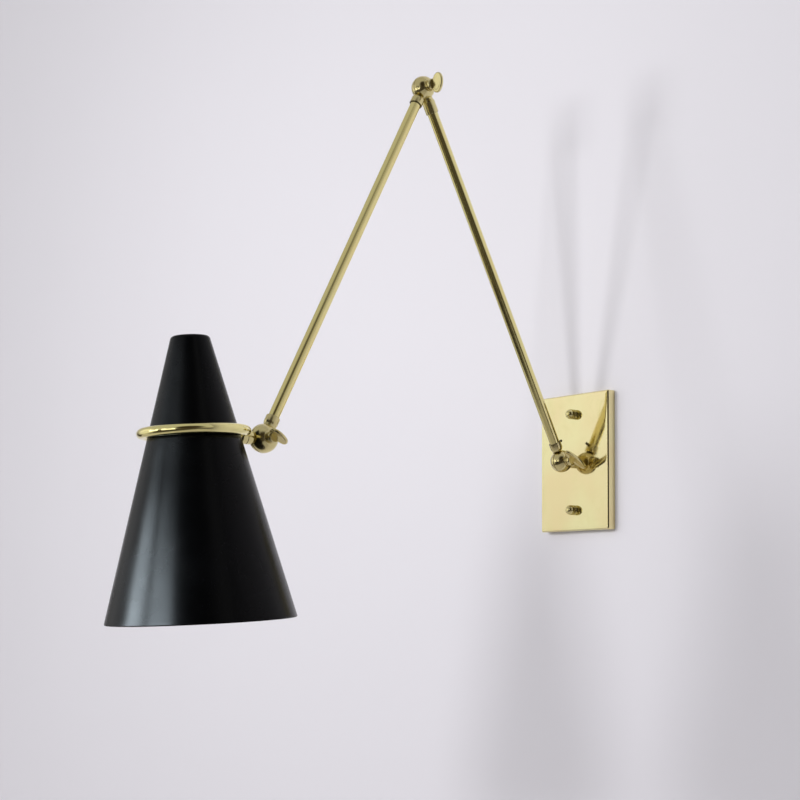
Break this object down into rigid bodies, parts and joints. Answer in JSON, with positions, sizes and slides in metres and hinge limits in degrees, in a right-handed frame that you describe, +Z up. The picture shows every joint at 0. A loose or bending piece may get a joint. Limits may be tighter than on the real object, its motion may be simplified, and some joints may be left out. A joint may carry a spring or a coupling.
{
  "type": "wall lamp",
  "caption": "Articulated wall lamp: brass wall plate, two brass arms in an inverted V on split-ball swivels with thumb screws, and a black cone shade held by a brass ring.",
  "frame": {"origin": "centre of the wall plate and its mounting bar on the wall plane, midway between the two wall screw holes", "axes": "+X to the right along the wall, +Y into the wall, +Z up; the lamp reaches out towards -Y"},
  "size_m": [0.1476, 0.4796, 0.4773],
  "materials": {
    "polished_brass": "polished, clear-lacquered",
    "zinc_steel": "bright zinc plate",
    "dark_steel": "dark bronzed",
    "black_paint": "satin black outside, white inside",
    "white_nylon": "natural nylon",
    "black_phenolic": "moulded, slightly glossy",
    "nickelled_shell": "nickel plate",
    "opal_glass": "opal white"
  },
  "bodies": {
    "wall_mount": {"wall_plate": "polished_brass", "mounting_bar": "zinc_steel", "plate_studs": "zinc_steel", "cap_nuts": "polished_brass", "wall_swivel_stem": "polished_brass", "stem_washer": "zinc_steel", "stem_lock_nut": "zinc_steel", "wall_swivel_washer": "white_nylon"},
    "lower_arm": {"wall_swivel_arm_half": "polished_brass", "collar_set_screw": "dark_steel", "lower_arm_tube": "polished_brass", "elbow_lower_half": "polished_brass", "elbow_washer": "white_nylon"},
    "wall_screw": {"wall_thumb_screw": "polished_brass"},
    "upper_arm": {"elbow_upper_half": "polished_brass", "upper_arm_tube": "polished_brass", "shade_swivel_arm_half": "polished_brass", "shade_swivel_washer": "white_nylon"},
    "elbow_screw": {"elbow_thumb_screw": "polished_brass"},
    "shade_head": {"shade_swivel_neck": "polished_brass", "shade_nipple": "zinc_steel", "shade_ring": "polished_brass", "ring_grub_screw": "dark_steel", "ring_saddle": "polished_brass", "shade": "black_paint", "shade_wedge_washer": "zinc_steel", "lampholder_bracket": "zinc_steel", "nipple_nut": "zinc_steel", "lampholder": "black_phenolic", "lampholder_shell": "nickelled_shell", "lampholder_screw": "zinc_steel", "bulb_cap": "nickelled_shell", "bulb_globe": "opal_glass"},
    "shade_screw": {"shade_thumb_screw": "polished_brass"}
  },
  "joints": [
    {"name": "wall_pivot", "type": "hinge", "parent": "wall_mount", "child": "lower_arm", "pos_m": [0, -0.0244, 0], "axis": [1, 0, 0], "range_deg": [-27, 62]},
    {"name": "elbow_pivot", "type": "hinge", "parent": "lower_arm", "child": "upper_arm", "pos_m": [0, -0.19031, 0.3152], "axis": [-1, 0, 0], "range_deg": [-5, 125]},
    {"name": "shade_pivot", "type": "hinge", "parent": "upper_arm", "child": "shade_head", "pos_m": [0, -0.35108, -0.00265], "axis": [-1, 0, 0], "range_deg": [-100, 50]},
    {"name": "wall_screw_turn", "type": "hinge", "parent": "lower_arm", "child": "wall_screw", "pos_m": [0, -0.0244, 0], "axis": [1, 0, 0], "range_deg": [0, 360]},
    {"name": "elbow_screw_turn", "type": "hinge", "parent": "upper_arm", "child": "elbow_screw", "pos_m": [0, -0.19031, 0.3152], "axis": [1, 0, 0], "range_deg": [0, 360]},
    {"name": "shade_screw_turn", "type": "hinge", "parent": "shade_head", "child": "shade_screw", "pos_m": [0, -0.35108, -0.00265], "axis": [1, 0, 0], "range_deg": [0, 360]}
  ]
}
